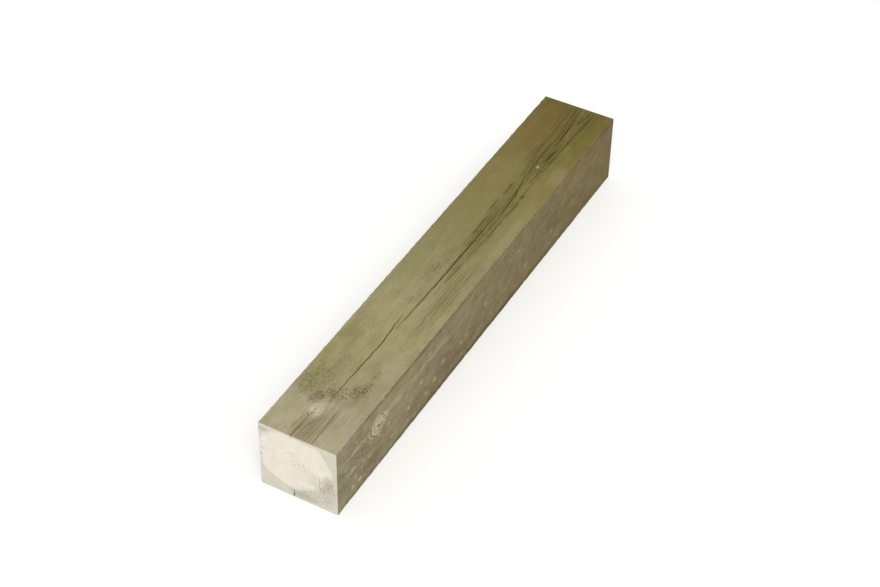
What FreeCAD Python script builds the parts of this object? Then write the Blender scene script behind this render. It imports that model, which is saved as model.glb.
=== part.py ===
"""Sawn treated pine post with boxed heart: one solid stick with eased arrises and drying checks.

Frame: X runs along the grain, Y across the width and Z up. The origin is the middle of the bottom
face. The near end is at -X and the far end at +X.
"""
import FreeCAD, Part
import PartDesign
import Sketcher
import os

# ------------------------------------------------------------------ sizes, in millimetres

sizes = {
    "postLength": 700,     # cut length, along the grain
    "postWidth": 101,      # sawn size across, nominal 100
    "postHeight": 97.5,    # sawn size up, nominal 100 less its shrinkage
    "arrisRadius": 1.5,    # the four long corners, eased by saw and handling
    "tipGape": 0.3,        # width left at the surface where a check dies out
    "tipDepth": 1.5,       # depth left where a check dies out
}

# Drying checks are splits that open in the skin of a boxed-heart post and close towards its pith.
# start and end are distances in from the post's end, and startSide and endSide the places across
# the post there, counted from its middle line. gape is the width at the surface and depth the
# reach into the wood, both where the check is most open.
checks = {
    "nearEndCheck": dict(start=0, end=39, startSide=8.5, endSide=8, gape=1.2, depth=6.5),
    "longCheckOne": dict(start=75, end=229, startSide=-1, endSide=-1.5, gape=1.3, depth=15),
    "longCheckTwo": dict(start=208, end=446, startSide=-6.5, endSide=-9.5, gape=1.8, depth=22),
    "farCheckOne": dict(start=252, end=177, startSide=-13.5, endSide=-6.5, gape=1.4, depth=16),
    "farCheckTwo": dict(start=175, end=88, startSide=-5, endSide=-2.5, gape=1.1, depth=12),
    "farCheckThree": dict(start=87, end=28, startSide=-10.5, endSide=-8.5, gape=1.5, depth=14),
    "baseCheck": dict(start=0, end=60, startSide=6.5, endSide=5, gape=1.6, depth=14),
}
fromFarEnd = ("farCheckOne", "farCheckTwo", "farCheckThree")   # the rest count from the near end
throughNearEnd = ("nearEndCheck", "baseCheck")                 # open at full depth in the end face
inBottomFace = ("baseCheck",)                                  # the rest are in the top face

doc = FreeCAD.newDocument("PinePost")
sheet = doc.addObject("Spreadsheet::Sheet", "Sizes")
for checkName, values in checks.items():
    for valueName, value in values.items():
        sizes[f"{checkName}_{valueName}"] = value
for row, (alias, value) in enumerate(sizes.items(), start=1):
    sheet.set(f"A{row}", alias)
    sheet.set(f"B{row}", str(value))
    sheet.setAlias(f"B{row}", alias)
doc.recompute()

post = doc.addObject("PartDesign::Body", "PinePost")
post.Label = "pine_post"
post.Placement = FreeCAD.Placement()


# ------------------------------------------------------------------ the sawn stick


def addSketch(name, role):
    """An empty sketch of the post's body, on one of the body's own origin planes."""
    sketch = post.newObject("Sketcher::SketchObject", name)
    plane = next(item for item in post.Origin.OriginFeatures if item.Role == role)
    sketch.AttachmentSupport = [(plane, "")]
    sketch.MapMode = "FlatFace"
    return sketch


def drawOutline(sketch, corners):
    """Straight lines from corner to corner and back to the first, joined at their ends."""
    for index, corner in enumerate(corners):
        nextCorner = corners[(index + 1) % len(corners)]
        sketch.addGeometry(Part.LineSegment(FreeCAD.Vector(*corner, 0), FreeCAD.Vector(*nextCorner, 0)))
    for index in range(len(corners)):
        following = (index + 1) % len(corners)
        sketch.addConstraint(Sketcher.Constraint("Coincident", index, 2, following, 1))


def addDimension(sketch, name, constraint, expression):
    """A named dimension of a sketch that reads its value from the sheet."""
    index = sketch.addConstraint(constraint)
    sketch.renameConstraint(index, name)
    sketch.setExpression(f"Constraints.{name}", expression)


def buildStick():
    """The square section, padded both ways from the middle, with its four long arrises eased."""
    section = addSketch("Section", "YZ_Plane")
    side = sizes["postWidth"] / 2
    top = sizes["postHeight"]
    drawOutline(section, [(-side, 0), (side, 0), (side, top), (-side, top)])
    for edge in (0, 2):
        section.addConstraint(Sketcher.Constraint("Horizontal", edge))
    for edge in (1, 3):
        section.addConstraint(Sketcher.Constraint("Vertical", edge))
    section.addConstraint(Sketcher.Constraint("Symmetric", 0, 1, 0, 2, -1, 1))
    addDimension(section, "width", Sketcher.Constraint("DistanceX", 0, 1, 0, 2, 2 * side),
                 "Sizes.postWidth")
    addDimension(section, "height", Sketcher.Constraint("DistanceY", 1, 1, 1, 2, top),
                 "Sizes.postHeight")

    stick = post.newObject("PartDesign::Pad", "Stick")
    stick.Profile = section
    stick.SideType = "Symmetric"
    stick.setExpression("Length", "Sizes.postLength")
    doc.recompute()

    longEdges = []
    for number, edge in enumerate(stick.Shape.Edges, start=1):
        if abs(edge.tangentAt(edge.FirstParameter).x) > 0.9:
            longEdges.append(f"Edge{number}")
    arrises = post.newObject("PartDesign::Fillet", "Arrises")
    arrises.Base = (stick, longEdges)
    arrises.setExpression("Radius", "Sizes.arrisRadius")
    doc.recompute()
    return arrises


# ------------------------------------------------------------------ drying checks


def addCheckSection(name, checkName, station, openness):
    """One V of a check, square to the grain, with its mouth in the face and its point inside.

    station runs from 0 at the check's start to 1 at its end, and openness from 0 where the check
    dies out to 1 where it is most open.
    """
    sketch = addSketch(name, "YZ_Plane")
    drawOutline(sketch, [(-1, 0), (1, 0), (0, -5)])
    mouth, rightFlank = 0, 1
    xAxis, yAxis = -1, -2
    sketch.addConstraint(Sketcher.Constraint("PointOnObject", mouth, 1, xAxis))
    sketch.addConstraint(Sketcher.Constraint("Symmetric", mouth, 1, mouth, 2, yAxis))
    sketch.addConstraint(Sketcher.Constraint("PointOnObject", rightFlank, 2, yAxis))
    gape = f"(Sizes.tipGape + {openness} * (Sizes.{checkName}_gape - Sizes.tipGape))"
    depth = f"(Sizes.tipDepth + {openness} * (Sizes.{checkName}_depth - Sizes.tipDepth))"
    addDimension(sketch, "gape", Sketcher.Constraint("DistanceX", mouth, 1, mouth, 2, 2), gape)
    addDimension(sketch, "depth", Sketcher.Constraint("DistanceY", rightFlank, 2, mouth, 1, 5), depth)

    along = f"Sizes.{checkName}_start + {station} * (Sizes.{checkName}_end - Sizes.{checkName}_start)"
    across = (f"Sizes.{checkName}_startSide"
              f" + {station} * (Sizes.{checkName}_endSide - Sizes.{checkName}_startSide)")
    if checkName in fromFarEnd:
        place = f"Sizes.postLength / 2 - ({along})"
    else:
        place = f"({along}) - Sizes.postLength / 2"
    sketch.setExpression("AttachmentOffset.Base.x", across)
    sketch.setExpression("AttachmentOffset.Base.z", place)
    if checkName in inBottomFace:
        sketch.AttachmentOffset = FreeCAD.Placement(FreeCAD.Vector(), FreeCAD.Rotation(180, 0, 0))
    else:
        sketch.setExpression("AttachmentOffset.Base.y", "Sizes.postHeight")
    return sketch


def cutCheck(checkName):
    """A leaf-shaped split, lofted through its Vs, from where it starts to where it dies out."""
    if checkName in throughNearEnd:
        stations = [(0, 1), (1, 0)]
    else:
        stations = [(0, 0), (0.5, 1), (1, 0)]
    profiles = []
    for number, (station, openness) in enumerate(stations, start=1):
        profiles.append(addCheckSection(f"{checkName}V{number}", checkName, station, openness))
    doc.recompute()
    volumeBefore = post.Shape.Volume
    split = post.newObject("PartDesign::SubtractiveLoft", checkName)
    split.Profile = profiles[0]
    split.Sections = profiles[1:]
    split.Ruled = True
    doc.recompute()
    removed = volumeBefore - post.Shape.Volume
    print(f"{checkName}: {removed:.0f} cubic millimetres removed")
    if removed <= 0:
        raise RuntimeError(f"{checkName} cuts nothing")


buildStick()
for checkName in checks:
    cutCheck(checkName)

# ------------------------------------------------------------------ tests and hand-over

doc.recompute()
for item in doc.Objects:
    if "Invalid" in item.State or "Error" in item.State:
        raise RuntimeError(f"{item.Name} did not build: {item.State}")
if post.Shape.isNull() or not post.Shape.isValid():
    raise RuntimeError("the post is not a valid solid")
print(f"pine_post: {len(post.Shape.Solids)} solid, {post.Shape.Volume / 1000:.1f} cubic centimetres")

os.makedirs("parts", exist_ok=True)
post.Shape.exportStep("parts/pine_post.step")
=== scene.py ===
import math
from functools import partial

import bmesh
import bpy
import numpy as np
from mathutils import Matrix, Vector, noise


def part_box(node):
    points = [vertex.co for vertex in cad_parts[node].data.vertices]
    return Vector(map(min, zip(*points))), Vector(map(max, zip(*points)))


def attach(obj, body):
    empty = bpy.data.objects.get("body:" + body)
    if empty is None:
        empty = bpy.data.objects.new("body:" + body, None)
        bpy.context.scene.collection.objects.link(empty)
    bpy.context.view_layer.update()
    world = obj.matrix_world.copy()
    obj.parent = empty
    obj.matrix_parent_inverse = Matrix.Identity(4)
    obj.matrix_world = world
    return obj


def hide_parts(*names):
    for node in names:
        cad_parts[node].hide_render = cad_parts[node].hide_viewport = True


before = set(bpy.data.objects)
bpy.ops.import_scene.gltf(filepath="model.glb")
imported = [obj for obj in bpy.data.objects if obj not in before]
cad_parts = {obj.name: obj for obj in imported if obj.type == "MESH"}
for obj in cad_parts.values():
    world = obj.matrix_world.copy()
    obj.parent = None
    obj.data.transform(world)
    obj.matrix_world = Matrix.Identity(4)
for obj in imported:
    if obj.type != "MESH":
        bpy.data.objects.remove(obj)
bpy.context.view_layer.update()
print("frame loaded:", sorted(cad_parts))

mm = 0.001
low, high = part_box("pine_post")
postLength = (high.x - low.x) / mm
postWidth = (high.y - low.y) / mm
postHeight = (high.z - low.z) / mm

# Places on the post are written in mm: how far along from the near end, how far across from the
# middle line (left is plus) and how high above the bottom face.

view = {
    "place": (-1.5494, -0.8235, 1.6139),    # metres
    "lookAt": (-0.0116, 0.0091, 0.0425),
    "rollDegrees": 1.09,
    "lens": 78.6,
}


def makeCamera():
    bpy.ops.object.camera_add(location=view["place"])
    camera = bpy.context.object
    camera.name = "camera"
    camera.data.lens = view["lens"]
    camera.data.sensor_width = 36
    aim = (Vector(view["lookAt"]) - Vector(view["place"])).to_track_quat("-Z", "Y")
    camera.rotation_euler = aim.to_euler()
    camera.rotation_euler.rotate_axis("Z", math.radians(view["rollDegrees"]))
    bpy.context.scene.camera = camera
    print("camera placed")


def hexToLinear(code):
    channels = [int(code[i:i + 2], 16) / 255 for i in (1, 3, 5)]
    linear = [c / 12.92 if c <= 0.04045 else ((c + 0.055) / 1.055) ** 2.4 for c in channels]
    return (*linear, 1.0)


def addNode(tree, kind, settings=None, inputs=None, output=0):
    node = tree.nodes.new("ShaderNode" + kind)
    for name, value in (settings or {}).items():
        if name == "stops":
            ramp = node.color_ramp.elements
            ramp.remove(ramp[0])
            ramp[0].position, ramp[0].color = value[0][0], hexToLinear(value[0][1])
            for place, tone in value[1:]:
                ramp.new(place).color = hexToLinear(tone)
        else:
            setattr(node, name, value)
    for name, value in (inputs or {}).items():
        if isinstance(value, bpy.types.NodeSocket):
            tree.links.new(value, node.inputs[name])
        else:
            node.inputs[name].default_value = value
    return node.outputs[output] if node.outputs else node


# settings that many nodes share
eased = {"interpolation_type": "SMOOTHSTEP"}
times = {"operation": "MULTIPLY"}
timesPlus = {"operation": "MULTIPLY_ADD"}
minus = {"operation": "SUBTRACT"}
larger = {"operation": "MAXIMUM"}
smaller = {"operation": "MINIMUM"}


def emptyMaterial(name):
    material = bpy.data.materials.new(name)
    material.use_nodes = True
    material.node_tree.nodes.clear()
    return material


studio = {
    "skyLevel": 0.62,
    "sunLevel": 1.5,
    "sunFrom": (-0.60, -0.30, 0.74),    # towards the lamp
    "sunSoftness": 40,                  # degrees across
    "floorSize": 14,                    # metres
    "floorColour": "#E8E8E6",
    "floorLift": 0.28,                  # brings the lit floor up to white, the shadow stays
}


def seenDirectly(add):
    rays = add("LightPath").node.outputs
    glossy = add("Math", larger, {0: rays["Is Camera Ray"], 1: rays["Is Glossy Ray"]})
    return add("Math", larger, {0: glossy, 1: rays["Is Transmission Ray"]})


def makeStudio():
    scene = bpy.context.scene
    world = bpy.data.worlds.new("softStudio")
    scene.world = world
    world.use_nodes = True
    tree = world.node_tree
    tree.nodes.clear()
    add = partial(addNode, tree)
    strength = add("MapRange", None, {"Value": seenDirectly(add), "To Min": studio["skyLevel"]})
    sky = add("Background", None, {"Color": (1, 1, 1, 1), "Strength": strength})
    add("OutputWorld", None, {"Surface": sky})

    bpy.ops.object.light_add(type="SUN", location=(0, 0, 3))
    sun = bpy.context.object
    sun.name = "softSun"
    sun.data.energy = studio["sunLevel"]
    sun.data.angle = math.radians(studio["sunSoftness"])
    sun.rotation_euler = Vector(studio["sunFrom"]).to_track_quat("Z", "Y").to_euler()

    bpy.ops.mesh.primitive_plane_add(size=studio["floorSize"], location=(0, 0, low.z))
    floor = bpy.context.object
    floor.name = "floor"
    paper = emptyMaterial("matt white paper")
    add = partial(addNode, paper.node_tree)
    sheet = add("BsdfDiffuse", None, {"Color": hexToLinear(studio["floorColour"])})
    lift = add("MapRange", None, {"Value": seenDirectly(add), "To Max": studio["floorLift"]})
    glow = add("Emission", None, {"Color": (1, 1, 1, 1), "Strength": lift})
    both = add("AddShader", None, {0: sheet, 1: glow})
    add("OutputMaterial", None, {"Surface": both})
    floor.data.materials.append(paper)

    scene.view_settings.view_transform = "Standard"
    print("studio lit")


# The tree that the post was sawn from. The pith drifts across the post along its length, and the
# branches push the grain aside.

growth = {
    "pithAcross": (4.5, -8.0),      # at the near end, and once it has drifted over
    "pithDrift": 380,               # length of that drift
    "pithHeight": 52,
    "ringsPerMm": (0.15, 0.0028),   # rings per mm at the pith, and what each mm further adds
    "boldRingsPerMm": 0.18,         # the few rings that show on a sawn end
    "sway": ((170, 45, 7.0), (50, 13, 2.6), (22, 9, 1.6)),    # length, width and depth of its waves, mm
    "swerveStretch": 2.2,           # grain runs out round a branch this much longer than it is wide
    "topBranch": (60, 55, 75),      # height above which it does on the mesh, and where that starts and
    "sideBranch": (-20, -12, -32),  # is full in the material; the same across, for the right face
}

# the knot on top, the pin knot beyond it and the knot on the right face
knots = [
    dict(face="top", along=48, aside=5.6, size=(11.5, 10.5), grainPush=9,
         colour="#C8BFA2", core=0.15, strength=0.95, rings=2.3, ringStrength=0.4),
    dict(face="top", along=557, aside=-10.5, size=(2.5, 2.0), grainPush=2.2,
         colour="#D2C8A0", core=0.2, strength=0.8, rings=0.8, ringStrength=0.2),
    dict(face="right", along=89, aside=65, size=(18.5, 13), grainPush=9,
         colour="#CBBF9E", core=0.85, strength=0.92, rings=2.6, ringStrength=1.0),
]

stick = {
    "cutsAlong": (23, 9),               # two rounds of cuts give cells about 3 mm long
    "cellAcross": 1.35,
    "arrisRows": (0.45, 0.95, 1.6),     # extra rows beside each long arris
    "endRow": 0.5,                      # and beside the sawn ends
    "arrisRadius": (0.3, 2.1),          # the least and most worn stretches
    "endRadius": 0.35,
    "wearLength": 8,
    "skin": 0.32,                       # deepest that the sawn surface dips below the true face
    "endSkin": 0.25,
    "sawPitch": 9.0,
    # what makes up the dip, as shares of the skin, and how large each pattern is
    "level": 0.45,
    "wave": 0.30,
    "waveSize": (120, 45, 45),
    "kerf": 0.06,
    "kerfSize": (90, 30, 30),
    "fibre": 0.16,
    "fibreSize": (25, 2.2, 2.2),
    "ridge": 0.075,
    "endSize": (math.inf, 14, 14),
    "knotStand": 0.45,
    "knotGroove": 0.35,
}

# Drying checks: splits over the pith. Each point is along, aside and how open it is there, from
# 0 to 1. gape is the opening at the surface and depth the reach inwards, where it is fully open.
checks = [
    dict(name="nearEndCheck", face="top", gape=0.85, depth=6.5,
         points=[(-2, 8.6, 1), (8, 8.4, 0.95), (20, 8, 0.8), (30, 8.2, 0.6), (39, 7.2, 0.3)]),
    dict(name="longCheckOne", face="top", gape=1.2, depth=15,
         points=[(74, -0.2, 0.25), (84, -1.3, 0.6), (110, -1.8, 0.75), (140, -2.6, 0.85), (172, -3.6, 1),
                 (188, -2.9, 0.95), (205, -1.7, 0.8), (219, -1.1, 0.55), (232, -0.6, 0.25)]),
    dict(name="longCheckTwo", face="top", gape=1.35, depth=22,
         points=[(206, -5.6, 0.25), (222, -6.2, 0.5), (250, -7.2, 0.8), (285, -8, 0.95), (320, -8.4, 1),
                 (355, -8.3, 1), (392, -8.9, 0.85), (420, -9.3, 0.7), (448, -9.6, 0.3)]),
    dict(name="farCheckOne", face="top", gape=1.3, depth=16,
         points=[(446, -13.8, 0.3), (462, -13.2, 0.7), (482, -12.6, 1), (500, -10.8, 0.9),
                 (524, -6.6, 0.35)]),
    dict(name="farCheckTwo", face="top", gape=1.1, depth=12,
         points=[(523, -5.2, 0.35), (545, -4.7, 0.8), (565, -4.4, 0.9), (590, -3.6, 0.7), (614, -2.2, 0.3)]),
    dict(name="farCheckThree", face="top", gape=1.6, depth=14,
         points=[(610, -10.7, 0.3), (628, -10.3, 0.9), (645, -9.4, 1), (660, -8.9, 0.7), (674, -8.2, 0.3)]),
    dict(name="baseCheck", face="bottom", gape=2.3, depth=14,
         points=[(-2, 6.6, 1), (12, 6.3, 0.9), (32, 5.6, 0.7), (60, 5, 0.25)]),
]


def toMetres(along, across, up):
    return Vector((low.x + along * mm, across * mm, low.z + up * mm))


def deselectAll():
    for item in bpy.context.selected_objects:
        item.select_set(False)


def selectEdges(mesh, axis, shortest):
    edit = bmesh.from_edit_mesh(mesh)
    bpy.ops.mesh.select_all(action="DESELECT")
    for edge in edit.edges:
        span = edge.verts[1].co - edge.verts[0].co
        if abs(span[axis]) > shortest * mm:
            edge.select = True
    edit.select_flush_mode()
    bmesh.update_edit_mesh(mesh)


def sawStick():
    deselectAll()
    bpy.ops.mesh.primitive_cube_add(size=1, location=(low + high) / 2)
    post = bpy.context.object
    post.name = "sawn_post"
    post.scale = high - low
    bpy.ops.object.transform_apply(location=True, rotation=True, scale=True)
    bpy.ops.object.mode_set(mode="EDIT")
    bpy.ops.mesh.select_mode(type="EDGE")
    for axis, rows in ((0, [stick["endRow"]]), (1, stick["arrisRows"]), (2, stick["arrisRows"])):
        normal = Vector((axis == 0, axis == 1, axis == 2))
        for row in rows:
            for place in (low[axis] + row * mm, high[axis] - row * mm):
                bpy.ops.mesh.select_all(action="SELECT")
                bpy.ops.mesh.bisect(plane_co=normal * place, plane_no=normal)
    for cuts in stick["cutsAlong"]:
        selectEdges(post.data, 0, 2)
        bpy.ops.mesh.subdivide(number_cuts=cuts)
    for axis, span in ((1, postWidth), (2, postHeight)):
        selectEdges(post.data, axis, 10)
        bpy.ops.mesh.subdivide(number_cuts=round(span / stick["cellAcross"]) - 1)
    bpy.ops.object.mode_set(mode="OBJECT")
    print("stick sawn:", len(post.data.vertices), "points")
    return post


def knotFlow(knot, along, side):
    # grain lines part round a branch as water does round a post
    reach = (along - knot["along"]) / growth["swerveStretch"]
    offset = side - knot["aside"]
    nearness = knot["grainPush"] ** 2 / np.maximum(reach ** 2 + offset ** 2, knot["grainPush"] ** 2)
    return offset * (1 - nearness) + knot["aside"]


def ringCount(along, across, up):
    drift = np.clip(along / growth["pithDrift"], 0, 1)
    drift = drift * drift * (3 - 2 * drift)
    pithNear, pithFar = growth["pithAcross"]
    for knot in knots:
        if knot["face"] == "top":
            across = np.where(up > growth["topBranch"][0], knotFlow(knot, along, across), across)
        else:
            up = np.where(across < growth["sideBranch"][0], knotFlow(knot, along, up), up)
    radius = np.hypot(across - pithNear - (pithFar - pithNear) * drift, up - growth["pithHeight"])
    return radius * growth["ringsPerMm"][0] + radius ** 2 * growth["ringsPerMm"][1]


def noiseAt(points, size):
    return np.array([noise.noise(Vector(point)) for point in points * (1 / np.array(size))])


def roughen(post):
    count = len(post.data.vertices)
    place = np.empty(count * 3)
    post.data.vertices.foreach_get("co", place)
    place = place.reshape(-1, 3)
    middle = np.array((low + high) / 2)
    half = np.array((high - low) / 2)
    out = (place - middle) / mm
    half = half / mm
    along = out[:, 0] + half[0]
    up = out[:, 2] + half[2]
    onFace = np.abs(np.abs(out) - half) < 0.01

    # the long faces dip a little: saw waves across the grain, and ridges where the hard rings stand
    wave = noiseAt(out, stick["waveSize"])
    sway = 2.5 * noiseAt(out, stick["kerfSize"])
    kerf = np.sin(along / stick["sawPitch"] * 2 * math.pi + sway)
    fibre = noiseAt(out, stick["fibreSize"])
    rings = ringCount(along, out[:, 1], up)
    ridge = np.sin(rings * 2 * math.pi)
    dip = stick["level"] + stick["wave"] * wave + stick["kerf"] * kerf
    dip = dip + stick["fibre"] * fibre + stick["ridge"] * ridge
    for knot in knots:
        offset = out[:, 1] - knot["aside"] if knot["face"] == "top" else up - knot["aside"]
        reach = np.hypot((along - knot["along"]) / knot["size"][0], offset / knot["size"][1])
        here = onFace[:, 2] & (out[:, 2] > 0) if knot["face"] == "top" else onFace[:, 1] & (out[:, 1] < 0)
        # the knot stands proud where the wood round it has shrunk, with a groove at its rim
        stand = np.exp(-reach ** 4) * stick["knotStand"]
        stand = stand - np.exp(-((reach - 1.05) / 0.16) ** 2) * stick["knotGroove"]
        dip = dip - np.where(here, stand, 0)
    dip = np.clip(dip, 0, 1) * stick["skin"]
    for axis in (1, 2):
        out[:, axis] -= np.where(onFace[:, axis], np.sign(out[:, axis]) * dip, 0)
    endDip = np.clip(0.4 + 0.4 * noiseAt(out, stick["endSize"]) + 0.12 * ridge + 0.2 * fibre, 0, 1)
    out[:, 0] -= np.where(onFace[:, 0], np.sign(out[:, 0]) * endDip * stick["endSkin"], 0)

    # every arris is rubbed round, more in some stretches than in others
    least, most = stick["arrisRadius"]
    # the signs give each of the four arrises its own wear
    wear = noiseAt(np.stack([out[:, 0], np.sign(out[:, 1]) * 40, np.sign(out[:, 2]) * 70], 1),
                   stick["wearLength"])
    radius = least + (most - least) * np.clip(0.45 + 0.9 * wear, 0, 1)
    skinHalf = half - 0.12
    core = np.clip(out[:, 1:], -(skinHalf[1:] - radius[:, None]), skinHalf[1:] - radius[:, None])
    beyond = out[:, 1:] - core
    length = np.linalg.norm(beyond, axis=1)
    corner = (np.abs(beyond) > 1e-6).all(1) & (length > radius)
    out[:, 1:] = np.where(corner[:, None], core + beyond * (radius / np.maximum(length, 1e-9))[:, None],
                          out[:, 1:])
    ends = np.abs(out[:, 0]) > half[0] - 0.4
    faceGap = np.min(half[1:] - np.abs(out[:, 1:]), axis=1)
    out[:, 0] -= np.where(ends & (faceGap < 0.6), np.sign(out[:, 0]) * stick["endRadius"], 0)

    post.data.vertices.foreach_set("co", (out * mm + middle).ravel())
    post.data.update()
    print("surface roughened")


def makeSplitter(check):
    # the check's path, swept with a V whose point is towards the pith
    bpy.ops.curve.primitive_bezier_curve_add(radius=1, location=(0, 0, 0))
    path = bpy.context.object
    path.name = check["name"]
    path.data.splines.clear()
    points = check["points"]
    spline = path.data.splines.new("NURBS")
    spline.points.add(len(points) - 1)
    upwards = 1 if check["face"] == "top" else -1
    height = postHeight if check["face"] == "top" else 0
    for point, (along, aside, openness) in zip(spline.points, points):
        point.co = (*toMetres(along, aside, height), 1)
        point.radius = openness
    spline.use_endpoint_u = True
    spline.order_u = 3
    spline.resolution_u = 10
    path.data.dimensions = "3D"
    path.data.twist_mode = "Z_UP"
    path.data.use_fill_caps = True

    proud = 1.5
    gape = check["gape"] * (check["depth"] + proud) / check["depth"] / 2
    outline = bpy.data.curves.new(check["name"] + "V", "CURVE")
    edge = outline.splines.new("POLY")
    edge.points.add(2)
    corners = ((-gape, proud * upwards), (gape, proud * upwards), (0, -check["depth"] * upwards))
    for point, corner in zip(edge.points, corners):
        point.co = (corner[0] * mm, corner[1] * mm, 0, 1)
    edge.use_cyclic_u = True
    profile = bpy.data.objects.new(check["name"] + "V", outline)
    bpy.context.scene.collection.objects.link(profile)
    path.data.bevel_mode = "OBJECT"
    path.data.bevel_object = profile

    deselectAll()
    path.select_set(True)
    bpy.context.view_layer.objects.active = path
    bpy.ops.object.convert(target="MESH")
    bpy.data.objects.remove(profile)
    bpy.ops.object.mode_set(mode="EDIT")
    bpy.ops.mesh.select_all(action="SELECT")
    bpy.ops.mesh.remove_doubles(threshold=0.00001)
    bpy.ops.mesh.normals_make_consistent(inside=False)
    bpy.ops.object.mode_set(mode="OBJECT")
    return path


# A split follows the fibres, so its line is never quite smooth: how far it strays, over what
# length, and a number that only picks the noise.
strays = ((1.0, 11, 3.7), (0.4, 4, 8.1))


def wander(splitter):
    for vertex in splitter.data.vertices:
        shift = 0
        for reach, length, pick in strays:
            shift += noise.noise(Vector((vertex.co.x / (length * mm), pick, 0))) * reach
        vertex.co.y += shift * mm


def openChecks(post):
    for check in checks:
        splitter = makeSplitter(check)
        wander(splitter)
        bpy.context.view_layer.objects.active = post
        cut = post.modifiers.new(check["name"], "BOOLEAN")
        cut.operation = "DIFFERENCE"
        cut.solver = "EXACT"
        cut.object = splitter
        bpy.ops.object.modifier_apply(modifier=cut.name)
        bpy.data.objects.remove(splitter)
        print(check["name"], "opened:", len(post.data.vertices), "points")


def unwrap(post):
    # four long strips, and the two ends below them; each face goes on the strip it lies nearest
    mesh = post.data
    size = np.array((postLength, postWidth, postHeight))
    start = np.array((postLength / 2, postWidth / 2, 0))

    def read(items, name, width, kind):
        values = np.empty(len(items) * width, kind)
        items.foreach_get(name, values)
        return values.reshape(-1, width) if width > 1 else values

    points = read(mesh.vertices, "co", 3, float) / mm + start
    centres = read(mesh.polygons, "center", 3, float) / mm + start
    vertexOfLoop = read(mesh.loops, "vertex_index", 1, int)
    gaps = np.stack([size[2] - centres[:, 2], centres[:, 1], centres[:, 2], size[1] - centres[:, 1],
                     centres[:, 0], size[0] - centres[:, 0]], 1)
    strip = np.repeat(np.argmin(gaps, 1), read(mesh.polygons, "loop_total", 1, int))
    share = points[vertexOfLoop] / size
    uv = np.empty((len(vertexOfLoop), 2))
    margin, stripTall, endWide = 0.004, 0.185, 0.24
    for index, side in enumerate((1, 2, 1, 2)):
        here = strip == index
        uv[here, 0] = margin + share[here, 0] * (1 - 2 * margin)
        uv[here, 1] = 1 - (index + 1) * stripTall + margin + share[here, side] * (stripTall - 2 * margin)
    for index in (0, 1):
        here = strip == 4 + index
        uv[here, 0] = index * endWide + margin + share[here, 1] * (endWide - 2 * margin)
        uv[here, 1] = margin + share[here, 2] * (endWide - 2 * margin)
    mesh.uv_layers.new(name="OFBake").data.foreach_set("uv", uv.ravel())
    print("unwrapped")


# Rough-sawn pine, pressure treated: copper salts turn the sapwood khaki to olive, the heart takes
# none and stays cream. Matt all over, and some bundles of fibres a little less so.

pine = {
    "topTone": [(0.0, "#B5AB8B"), (0.1, "#A79E7F"), (0.2, "#A0976D"), (0.28, "#A59C72"), (0.43, "#9B9169"),
                (0.57, "#8C8356"), (0.71, "#857A48"), (0.86, "#7A6E37"), (1.0, "#6B5C28")],
    "sideTone": [(0.0, "#998C70"), (0.17, "#9E9072"), (0.3, "#948667"), (0.5, "#8C7D5D"),
                 (0.75, "#80714D"), (1.0, "#766441")],
    "underside": "#8A8062",
    "heart": "#EFE8D9",
    "sapwood": "#D8D3C3",
    "lateWood": "#51461D",
    "endLine": "#AD9468",
    "greenStain": "#80824A",
    "brownStain": "#82704A",
    "knotRing": "#64552F",
    "tornSpeck": "#62582C",
    "endSpeck": "#918A77",
    "darkLine": "#43350E",
    # painted shade for the inside of the checks
    "checkShadeColour": "#5A4214",
    "paleFleck": "#C9BC9E",
    "roughness": (0.72, 0.92),
    "fibre": (22, 1.6, 1.6),      # mm; true fibres are 0.04 mm wide, so bundles of them are drawn
    "bundle": (80, 4.5, 4.5),
    "blotch": (48, 24, 24),
    "mottle": (22, 13, 13),
    "calm": (60, 20, 20),
    "grit": (2.4, 1.7, 1.7),
    "fleck": (2.7, 1.9, 1.9),
    "streak": (130, 2.2, 2.2),
    "edge": (7, 5, 5),
    "spill": (14, 4.8, 5.8),      # how raggedly the top skin ends, and where it starts and is full, mm
    "shade": (("fibre", 0.035), ("bundle", 0.028), ("grit", 0.045)),    # how much each pattern darkens
    "relief": (("grit", 0.35), ("lateWood", 0.12), ("torn", -0.6), ("lifted", 0.35)),
    "reliefDepth": 0.9,
}

# Cream heartwood on the sawn ends: rounds about the pith, given as across, up and radius, then
# straight limits where the treatment stopped, given as a direction and how far out it lies.
heartRounds = [(6, 3, 42), (-18, 11, 31)]
heartLimits = [((0, 0.429, -0.903), 38.3), ((0, -0.854, 0.521), 47)]
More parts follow.
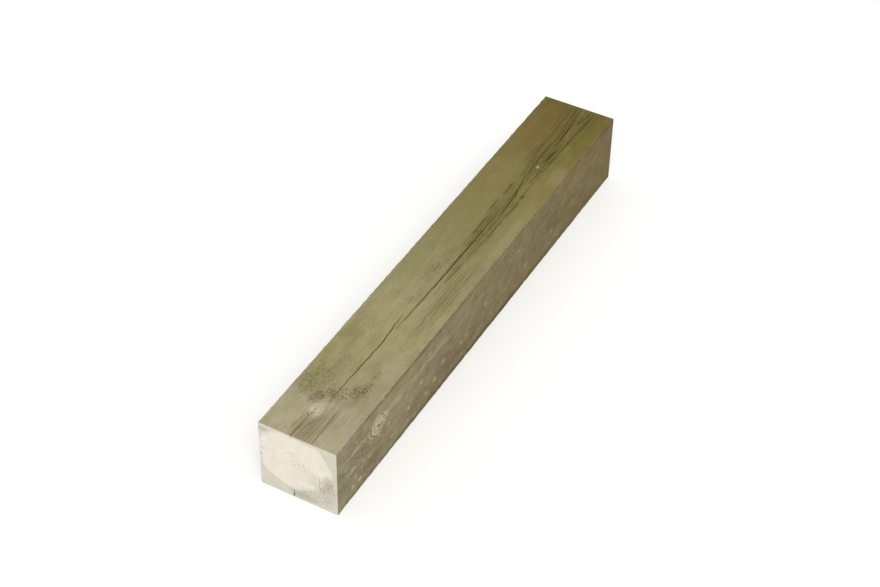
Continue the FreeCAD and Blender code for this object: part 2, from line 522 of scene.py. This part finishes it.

# Stains and worn places, and one band of painted shade under the top arris: where each lies, how far
# it reaches, how strong it is and how soft its edge is, where they differ from the usual.
usualPatch = dict(face="top", strength=0.5, edge=0.8)
patches = [
    dict(along=12, aside=0, size=(36, 24), colour="#8C7551", strength=0.45, edge=0.9),
    dict(along=52, aside=3, size=(24, 17), colour="#B5AC8F", strength=0.6),
    dict(along=30, aside=36, size=(30, 14), colour="#AFA582", strength=0.6),
    dict(along=94, aside=30, size=(38, 26), colour="#88834C", edge=0.7),
    dict(along=68, aside=14, size=(14, 11), colour="#7A7143", strength=0.45),
    dict(along=79, aside=-1, size=(14, 12), colour="#7A7143", strength=0.45),
    dict(along=95, aside=-22, size=(15, 10), colour="#7A7143", strength=0.45),
    dict(along=135, aside=43, size=(30, 8), colour="#8D8A4C"),
    dict(along=58, aside=-19, size=(14, 7), colour="#B7A88B", edge=0.7),
    dict(along=30, aside=-40, size=(30, 12), colour="#AFA684"),
    dict(along=150, aside=-36, size=(34, 14), colour="#ABA182", strength=0.55, edge=0.7),
    dict(along=320, aside=38, size=(52, 18), colour="#8C8952"),
    dict(along=250, aside=14, size=(50, 14), colour="#A99E78"),
    dict(along=300, aside=-30, size=(120, 12), colour="#948D58", edge=0.9),
    dict(along=330, aside=-17, size=(36, 7), colour="#827946", strength=0.55),
    dict(along=551, aside=-41, size=(30, 13), colour="#978D66", edge=0.75),
    dict(along=415, aside=-43, size=(95, 10), colour="#A0946C", strength=0.6),
    dict(along=640, aside=-38, size=(52, 13), colour="#6A6426", strength=0.6, edge=0.6),
    dict(along=400, aside=-16, size=(70, 9), colour="#7C7545", edge=0.9),
    dict(along=460, aside=-7, size=(150, 12), colour="#756C38", strength=0.55, edge=0.9),
    dict(along=590, aside=-10, size=(60, 17), colour="#655C2C", strength=0.65, edge=0.9),
    dict(along=520, aside=24, size=(60, 14), colour="#8C7F54", strength=0.45, edge=0.7),
    dict(along=625, aside=22, size=(80, 26), colour="#735F31", edge=0.9),
    dict(along=190, aside=40, size=(60, 14), colour="#8F8B58", strength=0.22, edge=0.9),
    dict(face="right", along=92, aside=68, size=(32, 17), colour="#A69A7B", edge=0.7),
    dict(face="right", along=122, aside=69, size=(34, 9), colour="#B0A486", strength=0.75),
    dict(face="right", along=205, aside=69, size=(72, 4.6), colour="#B2A588", strength=0.6),
    dict(face="right", along=318, aside=67, size=(58, 4), colour="#AA9D7F", strength=0.45),
    dict(face="right", along=44, aside=68.5, size=(44, 3.8), colour="#B9AF94", strength=0.8),
    # painted shade: a dark band on the right face just under the top arris
    dict(face="right", along=170, aside=95, size=(190, 7), colour="#776B4B", strength=0.6),
    dict(face="right", along=350, aside=-2, size=(460, 16), colour="#574D25", strength=0.85),
    dict(face="right", along=250, aside=24, size=(170, 18), colour="#786845", edge=0.9),
    dict(face="right", along=90, aside=20, size=(50, 15), colour="#7B6C4B"),
    dict(face="right", along=25, aside=42, size=(30, 36), colour="#9B947F", edge=0.9),
    dict(face="right", along=130, aside=44, size=(36, 12), colour="#9A8E72", edge=0.7),
    dict(face="right", along=205, aside=40, size=(40, 13), colour="#9A8E72", edge=0.7),
    dict(face="right", along=420, aside=62, size=(60, 14), colour="#8F8263", edge=0.7),
    dict(face="right", along=530, aside=46, size=(30, 24), colour="#72633F", edge=0.7),
    dict(face="right", along=600, aside=70, size=(50, 14), colour="#8B7B5A", strength=0.4),
    dict(face="right", along=690, aside=95, size=(100, 12), colour="#67562A", strength=0.6, edge=0.9),
    dict(face="right", along=620, aside=8, size=(60, 12), colour="#6A6033"),
    dict(face="near", along=-38, aside=42, size=(11, 18), colour="#BDB3A0"),
    dict(face="near", along=-22, aside=40, size=(12, 14), colour="#D2C5AE"),
    dict(face="near", along=-4, aside=8, size=(24, 9), colour="#B5B09D", strength=0.65),
    dict(face="near", along=46, aside=90, size=(10, 4.5), colour="#A79C82"),
    dict(face="near", along=0, aside=98, size=(54, 2.6), colour="#C4B68C", strength=0.6),
]

# Torn grain: places where the saw plucked the fibres into dark specks.
tornPatches = [
    dict(along=90, aside=30, size=(32, 24)),
    dict(along=67, aside=16, size=(12, 10), strength=0.75),
    dict(along=76, aside=5, size=(13, 11), strength=0.75),
    dict(along=84, aside=-9, size=(11, 10), strength=0.7),
    dict(along=91, aside=-20, size=(12, 10), strength=0.75),
    dict(along=102, aside=-28, size=(14, 7), strength=0.75),
    dict(along=127, aside=-26, size=(10, 5)),
    dict(along=126, aside=16, size=(22, 14), strength=0.3),
    dict(along=195, aside=32, size=(34, 14), strength=0.2),
    dict(along=300, aside=6, size=(70, 10), strength=0.28),
    dict(along=420, aside=-12, size=(90, 13), strength=0.45),
    dict(along=575, aside=-9, size=(52, 15), strength=0.75),
    dict(along=655, aside=-8, size=(60, 18), strength=0.55),
    dict(face="near", along=-40, aside=34, size=(11, 26), strength=0.6),
    dict(face="near", along=-24, aside=15, size=(28, 12)),
    dict(face="near", along=-4, aside=44, size=(16, 20), strength=0.16),
    dict(face="right", along=55, aside=46, size=(70, 38), strength=0.45),
    dict(face="right", along=230, aside=34, size=(110, 32), strength=0.35),
    dict(face="right", along=440, aside=56, size=(180, 40), strength=0.35),
    dict(face="right", along=350, aside=1, size=(420, 6), strength=0.7),
    dict(face="right", along=350, aside=97, size=(420, 4), strength=0.7),
]

# Where the growth rings show as lines.
lineAreas = [
    dict(along=280, aside=-30, size=(120, 15), strength=0.4),
    dict(along=25, aside=-12, size=(60, 22), strength=0.45),
    dict(along=450, aside=-12, size=(170, 17), strength=0.75),
    dict(along=585, aside=-8, size=(80, 24), strength=0.9),
    dict(along=660, aside=-10, size=(80, 32), strength=0.9),
]

# Hairline splits and dark grain lines: from, to, width and how dark. Beyond the
# share of its length that is firm, a line fades.
usualLine = dict(face="top", firm=0.5)
darkLines = [
    dict(start=(36, 8), end=(44, 4.6), width=1.1, strength=0.85),
    dict(start=(37, 8.4), end=(41, 10.6), width=1, strength=0.8),
    dict(start=(45, 6.4), end=(52, 5.4), width=1.6, strength=0.6),
    dict(start=(0, -3.5), end=(46, -8), width=1.4, strength=0.4),
    dict(start=(0, -18), end=(60, -17), width=1.4, strength=0.35),
    dict(start=(10, 16), end=(36, 12), width=1.4, strength=0.35),
    dict(start=(176, -24.5), end=(352, -25.5), width=0.9, strength=0.38),
    dict(start=(190, -28), end=(345, -29), width=0.9, strength=0.42),
    dict(start=(186, -31.6), end=(325, -32.4), width=0.9, strength=0.4),
    dict(start=(205, -35.2), end=(350, -36), width=0.9, strength=0.38),
    dict(start=(215, -38.6), end=(310, -39.4), width=0.9, strength=0.32),
    dict(start=(240, -21), end=(330, -21.6), width=0.9, strength=0.4),
    dict(start=(158, -45.5), end=(163, -50), width=1.2, strength=0.55),
    dict(start=(300, -15.5), end=(350, -17.5), width=1.8, strength=0.5),
    dict(start=(245, 4), end=(264, 4.6), width=1.2, strength=0.6),
    dict(start=(314, 6.2), end=(336, 6.8), width=1.2, strength=0.6),
    dict(start=(336, 1), end=(350, 0.4), width=1.2, strength=0.4),
    dict(start=(395, -2.2), end=(446, -0.6), width=1.5, strength=0.75),
    dict(start=(440, 2.6), end=(480, 3.4), width=1.5, strength=0.75),
    dict(start=(486, 1.6), end=(516, 1.8), width=2.2, strength=0.8),
    dict(start=(350, -18), end=(398, -19), width=1.4, strength=0.4),
    dict(start=(395, -20), end=(442, -20.6), width=1.6, strength=0.75),
    dict(start=(444, -22), end=(486, -22.8), width=1.8, strength=0.75),
    dict(start=(489, -21.4), end=(498, -21.4), width=2.6, strength=0.75),
    dict(start=(566, -12), end=(603, -16), width=2.8, strength=0.88),
    dict(start=(566, -20), end=(592, -20.6), width=2, strength=0.75),
    dict(start=(590, -19.6), end=(700, -24.4), width=1.5, strength=0.7),
    dict(start=(590, 6.4), end=(606, 5.2), width=1.6, strength=0.65),
    dict(start=(640, -2.8), end=(700, 0.8), width=1.6, strength=0.75),
    dict(start=(660, -14), end=(700, -19), width=1.8, strength=0.8),
    dict(start=(540, 3.6), end=(625, 6.5), width=1.3, strength=0.6),
    dict(start=(520, -16.5), end=(560, -18), width=1.5, strength=0.65),
    dict(face="right", start=(246, 57.5), end=(264, 57), width=1.6, strength=0.55),
    dict(face="right", start=(298, 64), end=(316, 63.5), width=1.6, strength=0.55),
    dict(face="right", start=(526, 58), end=(544, 52), width=2.6, strength=0.5),
    dict(face="right", start=(71, 67), end=(76, 57), width=1.5, strength=0.85),
    dict(face="right", start=(75, 58), end=(84, 52.5), width=1.5, strength=0.8),
    dict(face="right", start=(94, 78), end=(103, 70), width=1.3, strength=0.5),
    dict(face="right", start=(99, 72), end=(104, 62), width=1.3, strength=0.55),
    dict(face="right", start=(85, 66), end=(93, 63.5), width=2.2, strength=0.65),
    dict(face="near", start=(44, 59), end=(50.5, 59.5), width=1.2, strength=0.35),
    dict(face="near", start=(46, 50), end=(50.5, 50.3), width=1.4, strength=0.45),
    dict(face="near", start=(-29, 22), end=(-27, 52), width=1.2, strength=0.35),
    dict(face="near", start=(-34, 14), end=(-31, 36), width=1.2, strength=0.3),
]

# Dirt has crept out of each check along its lips.
for check in checks:
    if check["face"] == "top":
        for first, last in zip(check["points"], check["points"][1:]):
            darkLines.append(dict(start=first[:2], end=last[:2], width=1.9, firm=1,
                                  strength=0.32 * max(first[2], last[2])))

# Pale flecks of lifted fibre on the right face.
flecks = [(20, 55), (33, 17), (49, 15), (69, 34), (120, 20), (158, 33), (171, 9), (187, 48), (206, 77),
          (196, 25), (200, 19), (219, 27), (260, 15), (285, 33), (345, 48), (362, 19), (432, 67), (452, 29),
          (504, 47), (525, 33), (588, 77), (43, 80), (112, 47), (34, 44), (52, 30), (296, 35), (240, 40)]


def findFaces(add, wood):
    coordinates = add("TexCoord").node
    place = add("VectorMath", timesPlus,
                {0: coordinates.outputs["Object"], 1: (1 / mm,) * 3, 2: (postLength / 2, 0, 0)})
    wood["place"] = place
    wood["along"], wood["across"], wood["up"] = add("SeparateXYZ", None, {0: place}).node.outputs
    facing = add("SeparateXYZ", None, {0: coordinates.outputs["Normal"]}).node.outputs
    for name, axis, least, full in (("top", 2, 0.55, 0.85), ("under", 2, -0.55, -0.85),
                                    ("right", 1, -0.5, -0.8), ("near", 0, -0.5, -0.8), ("far", 0, 0.5, 0.8)):
        wood[name] = add("MapRange", eased, {"Value": facing[axis], "From Min": least, "From Max": full})
    wood["end"] = add("Math", larger, {0: wood["near"], 1: wood["far"]})


def flatPlace(add, wood, mark, source="place"):
    # distance from the middle of a mark, over its face, with its reach as 1
    centre = {"top": (mark["along"], mark["aside"], 0), "right": (mark["along"], 0, mark["aside"]),
              "near": (0, mark["along"], mark["aside"])}[mark["face"]]
    wide, tall = (1 / reach for reach in mark["size"])
    scale = {"top": (wide, tall, 0), "right": (wide, 0, tall), "near": (0, wide, tall)}[mark["face"]]
    offset = add("VectorMath", minus, {0: wood[source], 1: centre})
    oval = add("VectorMath", times, {0: offset, 1: scale})
    return add("VectorMath", {"operation": "LENGTH"}, {0: oval}, 1)


def partGrain(add, wood):
    # grain lines part round a knot as water does round a stone
    flowed = {"top": wood["across"], "right": wood["up"]}
    for knot in knots:
        face = knot["face"]
        depth, (_, deep, shallow) = {"top": (wood["up"], growth["topBranch"]),
                                     "right": (wood["across"], growth["sideBranch"])}[face]
        gate = add("MapRange", eased, {"Value": depth, "From Min": deep, "From Max": shallow})
        push = knot["grainPush"]
        oval = dict(knot, size=(push * growth["swerveStretch"], push))
        distance = flatPlace(add, wood, oval)
        nearness = add("Math", {"operation": "DIVIDE", "use_clamp": True}, {0: 1.0, 1: distance})
        shove = add("Math", {"operation": "POWER"}, {0: nearness, 1: 2.0})
        shove = add("Math", times, {0: shove, 1: gate})
        offset = add("Math", minus, {0: flowed[face], 1: knot["aside"]})
        shift = add("Math", times, {0: offset, 1: shove})
        flowed[face] = add("Math", minus, {0: flowed[face], 1: shift})
    wood["grain"] = add("CombineXYZ", None, {0: wood["along"], 1: flowed["top"], 2: flowed["right"]})
    pithNear, pithFar = growth["pithAcross"]
    pith = add("MapRange", eased,
               {"Value": wood["along"], "From Max": growth["pithDrift"],
                                         "To Min": pithNear, "To Max": pithFar})
    fromPith = add("Math", minus, {0: flowed["top"], 1: pith})
    abovePith = add("Math", minus, {0: flowed["right"], 1: growth["pithHeight"]})
    wood["spoke"] = add("CombineXYZ", None, {1: fromPith, 2: abovePith})


def scatterPatterns(add, wood):
    for name, detail in (("fibre", 3), ("bundle", 2), ("blotch", 3), ("mottle", 3), ("calm", 1), ("grit", 2),
                         ("fleck", 1), ("streak", 1), ("edge", 2)):
        source = wood["grain"] if name in ("fibre", "bundle", "streak", "fleck") else wood["place"]
        scaled = add("VectorMath", times, {0: source, 1: tuple(1 / size for size in pine[name])})
        wood[name] = add("TexNoise", None, {"Vector": scaled, "Scale": 1, "Detail": detail})
    # marks wander a little off their drawn outline
    scaled = add("VectorMath", times, {0: wood["place"], 1: (1 / 9, 1 / 4, 1 / 4)})
    wobble = add("TexNoise", None, {"Vector": scaled, "Scale": 1, "Detail": 2}, 1)
    centred = add("VectorMath", minus, {0: wobble, 1: (0.5, 0.5, 0.5)})
    wood["wobbly"] = add("VectorMath", timesPlus, {0: centred, 1: (6, 3.4, 3.4), 2: wood["place"]})


def growRings(add, wood):
    radius = add("VectorMath", {"operation": "LENGTH"}, {0: wood["spoke"]}, 1)
    for lengthwise, crosswise, sway in growth["sway"]:
        scaled = add("VectorMath", times,
                     {0: wood["grain"], 1: (1 / lengthwise, 1 / crosswise, 1 / crosswise)})
        wave = add("TexNoise", None, {"Vector": scaled, "Scale": 1, "Detail": 1})
        radius = add("Math", timesPlus, {0: wave, 1: sway, 2: radius})
    perMm = add("Math", timesPlus, {0: radius, 1: growth["ringsPerMm"][1], 2: growth["ringsPerMm"][0]})
    count = add("Math", times, {0: radius, 1: perMm})
    phase = add("Math", {"operation": "FRACT"}, {0: count})
    rise = add("MapRange", eased, {"Value": phase, "From Min": 0.3, "From Max": 0.9})
    fall = add("MapRange", None, {"Value": phase, "From Min": 0.9, "To Min": 1, "To Max": 0})
    wood["lateWood"] = add("Math", times, {0: rise, 1: fall})

    # on a sawn end only a few bold rings show, clearest round the pith
    uneven = add("Math", times, {0: wood["edge"], 1: 1.5})
    count = add("Math", timesPlus, {0: radius, 1: growth["boldRingsPerMm"], 2: uneven})
    phase = add("Math", {"operation": "FRACT"}, {0: count})
    crest = add("MapRange", eased, {"Value": phase, "From Min": 0.45, "From Max": 0.9})
    fall = add("MapRange", None, {"Value": phase, "From Min": 0.9, "To Min": 1, "To Max": 0})
    crest = add("Math", times, {0: crest, 1: fall})
    clear = add("MapRange", eased, {"Value": radius, "From Min": 40, "From Max": 12, "To Min": 0.12})
    broken = add("MapRange", None, {"Value": wood["bundle"],
                                    "From Min": 0.4, "From Max": 0.6, "To Min": 0.2})
    clear = add("Math", times, {0: clear, 1: broken})
    wood["boldRing"] = add("Math", times, {0: crest, 1: clear})


def blendIn(add, under, over, mask):
    return add("Mix", {"data_type": "RGBA"}, {0: mask, 6: under, 7: over}, 2)


def stainLongFaces(add, wood):
    share = add("Math", {"operation": "DIVIDE"}, {0: wood["along"], 1: postLength})
    topTone = add("ValToRGB", {"stops": pine["topTone"]}, {0: share})
    sideTone = add("ValToRGB", {"stops": pine["sideTone"]}, {0: share})
    # the paler skin of the top face breaks raggedly over its arrises
    swing, least, full = pine["spill"]
    ragged = add("Math", timesPlus, {0: wood["edge"], 1: swing, 2: wood["up"]})
    spill = add("MapRange", None, {"Value": ragged, "From Min": postHeight + least,
                                   "From Max": postHeight + full})
    over = add("Math", larger, {0: wood["top"], 1: spill})
    colour = blendIn(add, sideTone, topTone, over)
    colour = blendIn(add, colour, hexToLinear(pine["underside"]), wood["under"])
    for tone, least, full in (("greenStain", 0.5, 0.72), ("brownStain", 0.48, 0.26)):
        mask = add("MapRange", None, {"Value": wood["blotch"],
                                      "From Min": least, "From Max": full, "To Max": 0.55})
        colour = blendIn(add, colour, hexToLinear(pine[tone]), mask)
    return colour


def layEnds(add, wood, colour):
    sapwood = None
    for across, up, reach in heartRounds:
        offset = add("VectorMath", minus, {0: wood["spoke"], 1: (0, across, up)})
        distance = add("VectorMath", {"operation": "LENGTH"}, {0: offset}, 1)
        ragged = add("Math", timesPlus, {0: wood["edge"], 1: 6, 2: distance})
        beyond = add("MapRange", eased, {"Value": ragged, "From Min": reach - 1, "From Max": reach + 6})
        sapwood = beyond if sapwood is None else add("Math", smaller, {0: sapwood, 1: beyond})
    for direction, limit in heartLimits:
        distance = add("VectorMath", {"operation": "DOT_PRODUCT"}, {0: wood["spoke"], 1: direction}, 1)
        beyond = add("MapRange", eased,
                     {"Value": distance, "From Min": limit - 0.8, "From Max": limit + 0.8})
        sapwood = add("Math", larger, {0: sapwood, 1: beyond})
    endColour = blendIn(add, hexToLinear(pine["heart"]), hexToLinear(pine["sapwood"]), sapwood)
    # the rings show in some places and are sawn over in others
    shown = add("MapRange", None, {"Value": wood["blotch"], "From Min": 0.38, "From Max": 0.6,
                                   "To Min": 0.12, "To Max": 0.5})
    lines = add("Math", times, {0: wood["boldRing"], 1: shown})
    endColour = blendIn(add, endColour, hexToLinear(pine["endLine"]), lines)
    return blendIn(add, colour, endColour, wood["end"])


def layPatches(add, wood, colour):
    for patch in patches:
        patch = usualPatch | patch
        reach = flatPlace(add, wood, patch)
        ragged = add("Math", timesPlus, {0: wood["edge"], 1: 0.6, 2: reach})
        inside = add("MapRange", eased,
                     {"Value": ragged, "From Min": 1.35, "From Max": 1.35 - patch["edge"],
                      "To Max": patch["strength"]})
        mask = add("Math", times, {0: inside, 1: wood[patch["face"]]})
        colour = blendIn(add, colour, hexToLinear(patch["colour"]), mask)
    return colour


def drawGrainLines(add, wood, colour):
    shown = 0.1
    for area in lineAreas:
        reach = flatPlace(add, wood, dict(area, face="top"))
        inside = add("MapRange", eased,
                     {"Value": reach, "From Min": 1.2, "From Max": 0.3, "To Max": area["strength"]})
        shown = add("Math", larger, {0: shown, 1: inside})
    patchy = add("MapRange", None, {"Value": wood["bundle"],
                                    "From Min": 0.35, "From Max": 0.6, "To Min": 0.25})
    soft = add("Math", times, {0: wood["lateWood"], 1: 0.45})
    mask = add("Math", times, {0: soft, 1: patchy})
    thin = add("MapRange", eased,
               {"Value": wood["streak"], "From Min": 0.52, "From Max": 0.60, "To Max": 0.85})
    mask = add("Math", larger, {0: mask, 1: thin})
    mask = add("Math", times, {0: mask, 1: shown})
    long = add("Math", minus, {0: 1.0, 1: wood["end"]})
    mask = add("Math", times, {0: mask, 1: long})
    return blendIn(add, colour, hexToLinear(pine["lateWood"]), mask)


def setKnots(add, wood, colour):
    for knot in knots:
        reach = flatPlace(add, wood, knot, "wobbly")
        inside = add("MapRange", eased,
                     {"Value": reach,
                      "From Min": 1.25, "From Max": knot["core"], "To Max": knot["strength"]})
        mask = add("Math", times, {0: inside, 1: wood[knot["face"]]})
        colour = blendIn(add, colour, hexToLinear(knot["colour"]), mask)
        turns = add("Math", times, {0: reach, 1: 2 * math.pi * knot["rings"]})
        wave = add("Math", {"operation": "SINE"}, {0: turns})
        ring = add("MapRange", None, {"Value": wave, "From Min": 0.1, "To Max": knot["ringStrength"]})
        patchy = add("MapRange", None, {"Value": wood["edge"], "From Min": 0.42, "From Max": 0.6})
        ring = add("Math", times, {0: ring, 1: patchy})
        ring = add("Math", times, {0: ring, 1: mask})
        colour = blendIn(add, colour, hexToLinear(pine["knotRing"]), ring)
    return colour


def tearGrain(add, wood, colour):
    specks = add("MapRange", None, {"Value": wood["fleck"], "From Min": 0.48, "From Max": 0.6})
    torn = None
    for patch in tornPatches:
        patch = usualPatch | patch
        reach = flatPlace(add, wood, patch)
        ragged = add("Math", timesPlus, {0: wood["edge"], 1: 1.1, 2: reach})
        inside = add("MapRange", eased,
                     {"Value": ragged, "From Min": 1.7, "From Max": 1.1, "To Max": patch["strength"]})
        mask = add("Math", times, {0: inside, 1: wood[patch["face"]]})
        torn = mask if torn is None else add("Math", larger, {0: torn, 1: mask})
    mask = add("Math", times, {0: specks, 1: torn})
    speckTone = blendIn(add, hexToLinear(pine["tornSpeck"]), hexToLinear(pine["endSpeck"]), wood["end"])
    wood["torn"] = mask
    return blendIn(add, colour, speckTone, mask)


def drawDarkLines(add, wood, colour):
    along, across, up = add("SeparateXYZ", None, {0: wood["wobbly"]}).node.outputs
    drawn = None
    for line in darkLines:
        line = usualLine | line
        run, side = {"top": (along, across), "right": (along, up),
                     "near": (up, across)}[line["face"]]
        start, end = line["start"], line["end"]
        if line["face"] == "near":
            start, end = start[::-1], end[::-1]
        if abs(end[0] - start[0]) < abs(end[1] - start[1]):
            run, side, start, end = side, run, start[::-1], end[::-1]
        if end[0] < start[0]:
            start, end = end, start
        centre = add("MapRange", None, {"Value": run, "From Min": start[0], "From Max": end[0],
                                        "To Min": start[1], "To Max": end[1]})
        offset = add("Math", minus, {0: side, 1: centre})
        offset = add("Math", {"operation": "ABSOLUTE"}, {0: offset})
        near = add("MapRange", eased,
                   {"Value": offset, "From Min": line["width"], "From Max": 0.1, "To Max": line["strength"]})
        half = (end[0] - start[0]) / 2
        beyond = add("Math", minus, {0: run, 1: start[0] + half})
        beyond = add("Math", {"operation": "ABSOLUTE"}, {0: beyond})
        taper = add("MapRange", eased,
                    {"Value": beyond, "From Min": half + 1, "From Max": half * line["firm"]})
        mask = add("Math", times, {0: near, 1: taper})
        mask = add("Math", times, {0: mask, 1: wood[line["face"]]})
        drawn = mask if drawn is None else add("Math", larger, {0: drawn, 1: mask})
    return blendIn(add, colour, hexToLinear(pine["darkLine"]), drawn)


def scatterFlecks(add, wood, colour):
    # one by one on the right face where they are large, and small ones over both sides
    lifted = None
    for index, (along, aside) in enumerate(flecks):
        size = (2.8 + index % 3 * 1.2, 1.9 + index % 4 * 0.5)
        bright = (0.55 + index % 3 * 0.15) * (1 - 0.5 * along / postLength)
        reach = flatPlace(add, wood, dict(face="right", along=along, aside=aside, size=size), "wobbly")
        inside = add("MapRange", eased,
                     {"Value": reach, "From Min": 1.3, "From Max": 0.3, "To Max": bright})
        inside = add("Math", times, {0: inside, 1: wood["right"]})
        lifted = inside if lifted is None else add("Math", larger, {0: lifted, 1: inside})
    scaled = add("VectorMath", times, {0: wood["wobbly"], 1: (1 / 13, 1 / 9, 1 / 9)})
    cells = add("TexVoronoi", None, {"Vector": scaled, "Scale": 1}).node
    chance = add("SeparateXYZ", None, {0: cells.outputs["Color"]})
    chosen = add("MapRange", None, {"Value": chance, "From Min": 0.6, "From Max": 0.95})
    sparser = add("MapRange", None, {"Value": wood["along"], "From Min": 150, "From Max": 500, "To Min": 1,
                                     "To Max": 0.35})
    chosen = add("Math", times, {0: chosen, 1: sparser})
    dot = add("MapRange", eased,
              {"Value": cells.outputs["Distance"], "From Min": 0.36, "From Max": 0.1, "To Max": 0.45})
    small = add("Math", times, {0: dot, 1: chosen})
    sideways = add("Math", larger, {0: wood["top"], 1: wood["end"]})
    sideways = add("Math", minus, {0: 1.0, 1: sideways})
    small = add("Math", times, {0: small, 1: sideways})
    lifted = add("Math", larger, {0: lifted, 1: small})
    crumbly = add("MapRange", None, {"Value": wood["grit"],
                                     "From Min": 0.38, "From Max": 0.55, "To Min": 0.35})
    lifted = add("Math", times, {0: lifted, 1: crumbly})
    wood["lifted"] = lifted
    return blendIn(add, colour, hexToLinear(pine["paleFleck"]), lifted)


def shadeFibres(add, wood, colour):
    # streaky in some places and smooth in others, and mottled most on the right face and the ends
    swing = 0.0
    for name, amount in pine["shade"]:
        share = add("MapRange", {"clamp": False}, {"Value": wood[name], "From Min": 0.3, "From Max": 0.7,
                                                   "To Min": -amount, "To Max": amount})
        swing = add("Math", {"operation": "ADD"}, {0: share, 1: swing})
    streaky = add("MapRange", None, {"Value": wood["calm"], "From Min": 0.38, "From Max": 0.62,
                                     "To Min": 0.35, "To Max": 1.6})
    swing = add("Math", times, {0: swing, 1: streaky})
    stained = add("Math", larger, {0: wood["right"], 1: wood["end"]})
    depth = add("Mix", {"data_type": "FLOAT"}, {0: stained, 2: 0.3, 3: 0.85})
    mottle = add("Math", minus, {0: wood["mottle"], 1: 0.5})
    swing = add("Math", timesPlus, {0: mottle, 1: depth, 2: swing})
    long = add("Mix", {"data_type": "FLOAT"}, {0: wood["end"], 2: 1.0, 3: 0.3})
    total = add("Math", timesPlus, {0: swing, 1: long, 2: 1.0})
    return add("VectorMath", {"operation": "SCALE"}, {0: colour, "Scale": total})


def paintCheckShade(add, wood, colour):
    # painted shade: inside a check the wood is drawn dark from half a millimetre below the faces, standing
    # in for the shade in the split
    inward = add("Math", minus, {0: postHeight, 1: wood["up"]})
    fromFar = add("Math", minus, {0: postLength, 1: wood["along"]})
    sideways = add("Math", {"operation": "ABSOLUTE"}, {0: wood["across"]})
    fromSide = add("Math", minus, {0: postWidth / 2, 1: sideways})
    for gap in (wood["up"], wood["along"], fromFar, fromSide):
        inward = add("Math", smaller, {0: inward, 1: gap})
    dark = add("MapRange", None, {"Value": inward, "From Min": 0.5, "From Max": 1.3})
    return blendIn(add, colour, hexToLinear(pine["checkShadeColour"]), dark)


def pineMaterial():
    material = emptyMaterial("rough sawn treated pine")
    add = partial(addNode, material.node_tree)
    wood = {}
    findFaces(add, wood)
    partGrain(add, wood)
    scatterPatterns(add, wood)
    growRings(add, wood)
    colour = stainLongFaces(add, wood)
    colour = layEnds(add, wood, colour)
    colour = layPatches(add, wood, colour)
    colour = drawGrainLines(add, wood, colour)
    colour = setKnots(add, wood, colour)
    colour = tearGrain(add, wood, colour)
    colour = scatterFlecks(add, wood, colour)
    colour = shadeFibres(add, wood, colour)
    colour = drawDarkLines(add, wood, colour)
    # painted shade inside the checks
    colour = paintCheckShade(add, wood, colour)

    height = add("Math", times, {0: wood["fibre"], 1: 0.5})
    for name, amount in pine["relief"]:
        height = add("Math", timesPlus, {0: wood[name], 1: amount, 2: height})
    bump = add("Bump", None, {"Strength": 0.6, "Distance": pine["reliefDepth"] * mm, "Height": height})
    roughness = add("MapRange", None, {"Value": wood["bundle"], "From Min": 0.3, "From Max": 0.7,
                                       "To Min": pine["roughness"][0], "To Max": pine["roughness"][1]})
    surface = add("BsdfPrincipled", None, {"Base Color": colour, "Roughness": roughness, "Normal": bump,
                                           "Specular IOR Level": 0.3, "IOR": 1.45})
    add("OutputMaterial", None, {"Surface": surface})
    print("pine material:", len(material.node_tree.nodes), "nodes")
    return material


makeCamera()
makeStudio()
post = sawStick()
roughen(post)
openChecks(post)
unwrap(post)
deselectAll()
post.select_set(True)
bpy.context.view_layer.objects.active = post
bpy.ops.object.shade_smooth_by_angle(angle=math.radians(50))
post.data.materials.clear()
post.data.materials.append(pineMaterial())
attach(post, "root")
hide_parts("pine_post")
print("post finished:", len(post.data.polygons), "faces")
